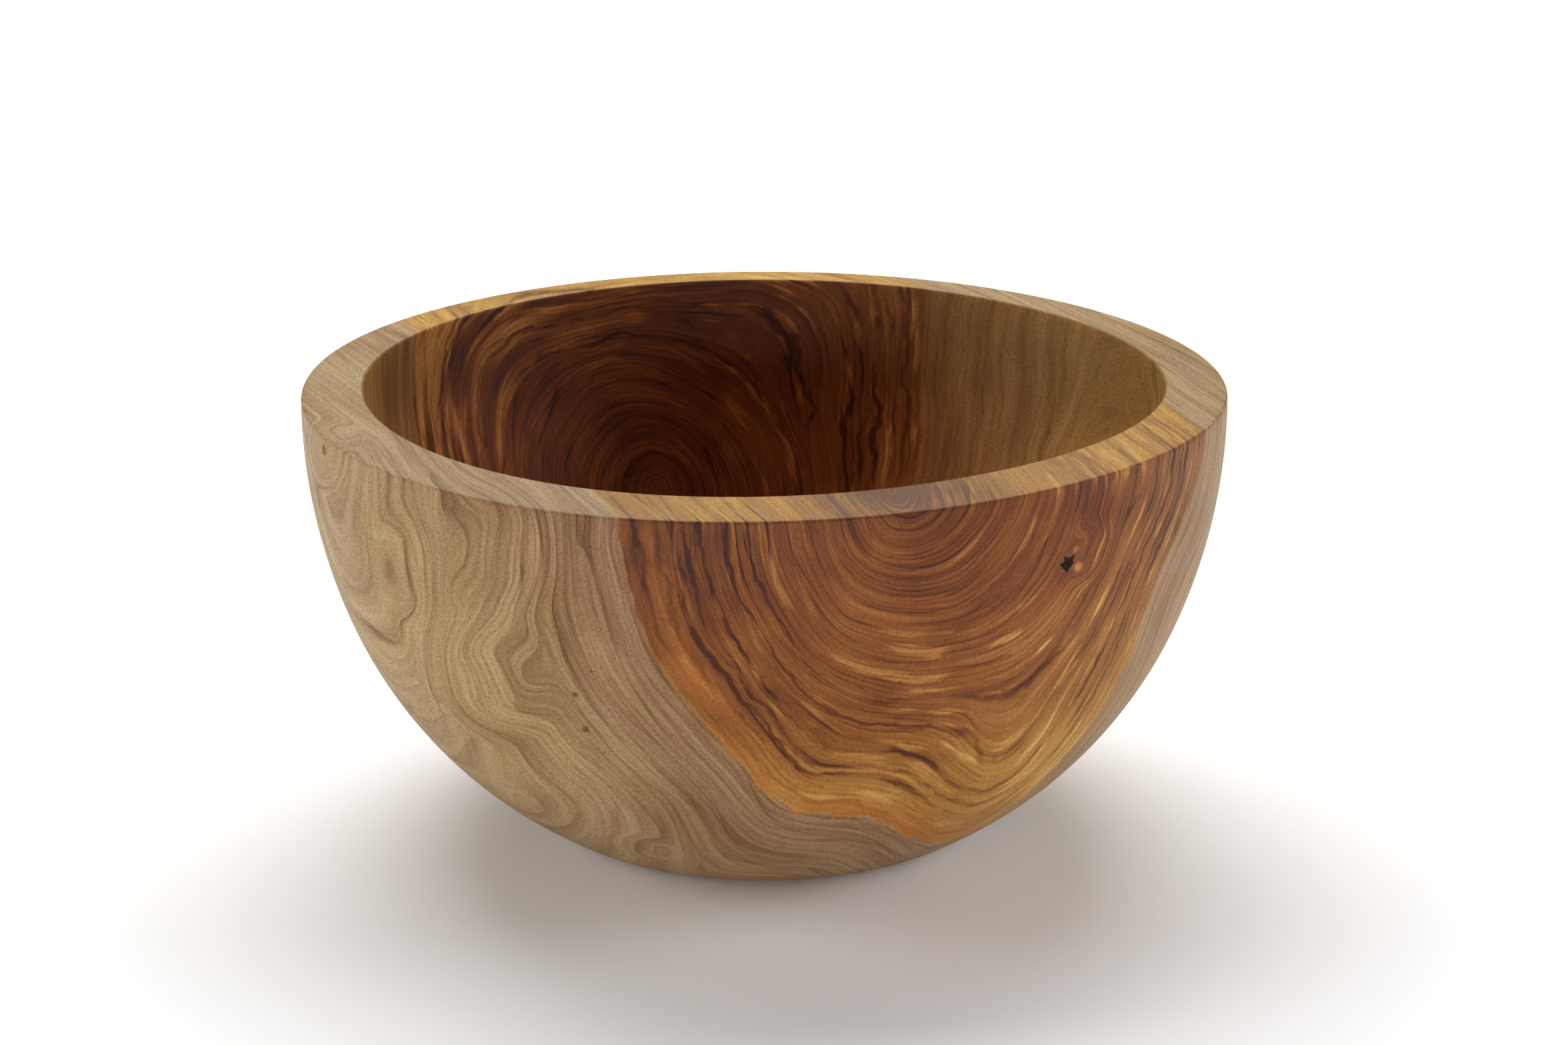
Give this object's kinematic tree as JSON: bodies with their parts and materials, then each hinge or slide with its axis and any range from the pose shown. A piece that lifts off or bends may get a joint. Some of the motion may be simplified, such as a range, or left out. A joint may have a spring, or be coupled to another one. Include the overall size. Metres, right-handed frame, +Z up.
{
  "type": "round wooden dough bowl",
  "caption": "Deep round bowl turned from one block of olive wood, with a thick flat rim, a rounded belly and a flat foot, for mixing and resting dough or for serving.",
  "frame": {"origin": "centre of the flat foot, on the surface that the bowl stands on", "axes": "+Z up along the turning axis, -Y towards the front that the picture shows, +X to the right"},
  "size_m": [0.3, 0.3, 0.1479],
  "materials": {
    "olive_wood": "oiled, satin",
    "dark_knot": "oiled, matt",
    "brown_knot": "oiled, satin"
  },
  "bodies": {
    "root": {"bowl": "olive_wood", "front_knot": "dark_knot", "side_knot": "brown_knot"}
  },
  "joints": []
}
